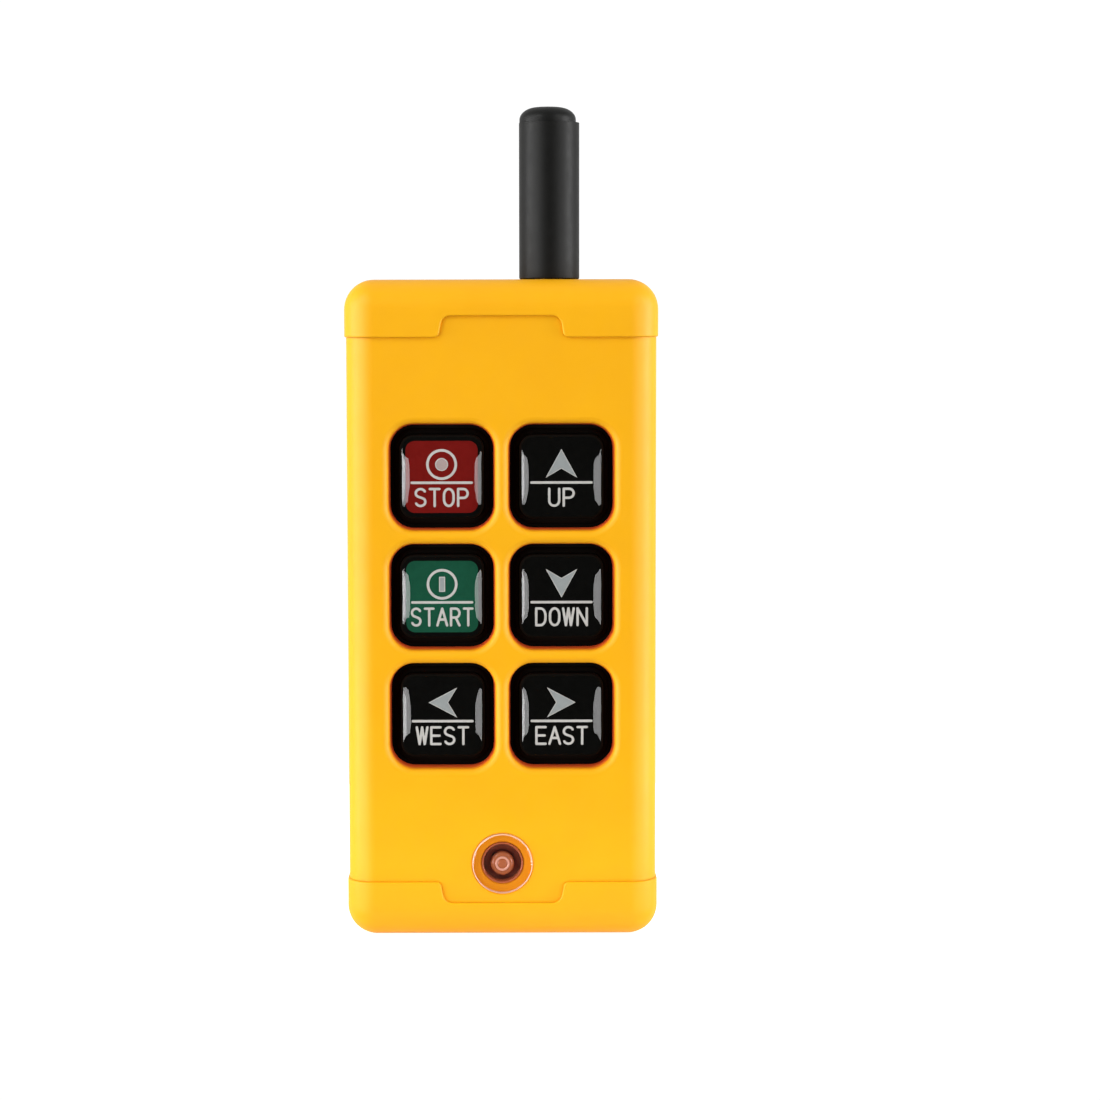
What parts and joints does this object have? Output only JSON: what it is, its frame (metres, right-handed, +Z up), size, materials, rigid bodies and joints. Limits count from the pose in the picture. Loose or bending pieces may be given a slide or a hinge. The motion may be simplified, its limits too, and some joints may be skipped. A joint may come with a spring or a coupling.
{
  "type": "pendant control station",
  "caption": "Hand-held radio pendant control station: a rounded box with end caps, domed push keys in deep wells, a signal lamp and a stub antenna on top.",
  "frame": {"origin": "centre of the flat bottom face, which is the centre of the bounding box's underside", "axes": "+Z up, along the case and the antenna; -Y out of the front with the keys; +X to the right seen from the front"},
  "size_m": [0.065, 0.0288, 0.1728],
  "materials": {
    "yellow_plastic": "fine moulded grain, satin",
    "black_rubber": "matte",
    "antenna_black": "matte, slightly soft",
    "label_red": "printed film under a clear glossy dome",
    "label_green": "printed film under a clear glossy dome",
    "label_black": "printed film under a clear glossy dome",
    "clear_plastic": "clear, polished",
    "black_plastic": "moulded",
    "board_green": "solder resist",
    "steel": "plated",
    "brass": "turned",
    "cell_jacket": "plain printed sleeve",
    "seal_rubber": "matte"
  },
  "bodies": {
    "housing": {"front_shell": "yellow_plastic", "rear_shell": "yellow_plastic", "top_cap": "yellow_plastic", "bottom_cap": "yellow_plastic", "shell_seal": "seal_rubber", "keypad_boot": "black_rubber", "switch_stop": "black_plastic", "switch_up": "black_plastic", "switch_start": "black_plastic", "switch_down": "black_plastic", "switch_west": "black_plastic", "switch_east": "black_plastic", "controller_chip": "black_plastic", "antenna_lead": "black_plastic", "main_board": "board_green", "lamp_lens": "clear_plastic", "signal_led": "clear_plastic", "antenna_sleeve": "antenna_black", "antenna_tip": "antenna_black", "antenna_stud": "brass", "antenna_nut": "brass", "antenna_coil": "brass", "radio_module": "steel", "contact_negative": "steel", "contact_positive": "steel", "contact_bridge": "steel", "contact_spring_1": "steel", "contact_spring_2": "steel", "case_screw_1": "steel", "case_screw_2": "steel", "case_screw_3": "steel", "case_screw_4": "steel", "cap_screw_1": "steel", "cap_screw_2": "steel", "cap_screw_3": "steel", "board_screw_1": "steel", "board_screw_2": "steel", "battery_cell_1": "cell_jacket", "battery_cell_2": "cell_jacket"},
    "stop_key": {"key_stop": "black_rubber", "label_stop": "label_red", "plunger_stop": "black_plastic"},
    "up_key": {"key_up": "black_rubber", "label_up": "label_black", "plunger_up": "black_plastic"},
    "start_key": {"key_start": "black_rubber", "label_start": "label_green", "plunger_start": "black_plastic"},
    "down_key": {"key_down": "black_rubber", "label_down": "label_black", "plunger_down": "black_plastic"},
    "west_key": {"key_west": "black_rubber", "label_west": "label_black", "plunger_west": "black_plastic"},
    "east_key": {"key_east": "black_rubber", "label_east": "label_black", "plunger_east": "black_plastic"},
    "door": {"battery_door": "yellow_plastic", "door_screw_1": "steel", "door_screw_2": "steel"}
  },
  "joints": [
    {"name": "stop_press", "type": "slide", "parent": "housing", "child": "stop_key", "axis": [0, 1, 0], "range_m": [0, 0.0015], "stiffness_N_per_m": 1500, "springref_m": -0.0007},
    {"name": "up_press", "type": "slide", "parent": "housing", "child": "up_key", "axis": [0, 1, 0], "range_m": [0, 0.0015], "stiffness_N_per_m": 1500, "springref_m": -0.0007},
    {"name": "start_press", "type": "slide", "parent": "housing", "child": "start_key", "axis": [0, 1, 0], "range_m": [0, 0.0015], "stiffness_N_per_m": 1500, "springref_m": -0.0007},
    {"name": "down_press", "type": "slide", "parent": "housing", "child": "down_key", "axis": [0, 1, 0], "range_m": [0, 0.0015], "stiffness_N_per_m": 1500, "springref_m": -0.0007},
    {"name": "west_press", "type": "slide", "parent": "housing", "child": "west_key", "axis": [0, 1, 0], "range_m": [0, 0.0015], "stiffness_N_per_m": 1500, "springref_m": -0.0007},
    {"name": "east_press", "type": "slide", "parent": "housing", "child": "east_key", "axis": [0, 1, 0], "range_m": [0, 0.0015], "stiffness_N_per_m": 1500, "springref_m": -0.0007},
    {"name": "door_lift", "type": "slide", "parent": "housing", "child": "door", "axis": [0, 1, 0], "range_m": [0, 0.02]}
  ]
}
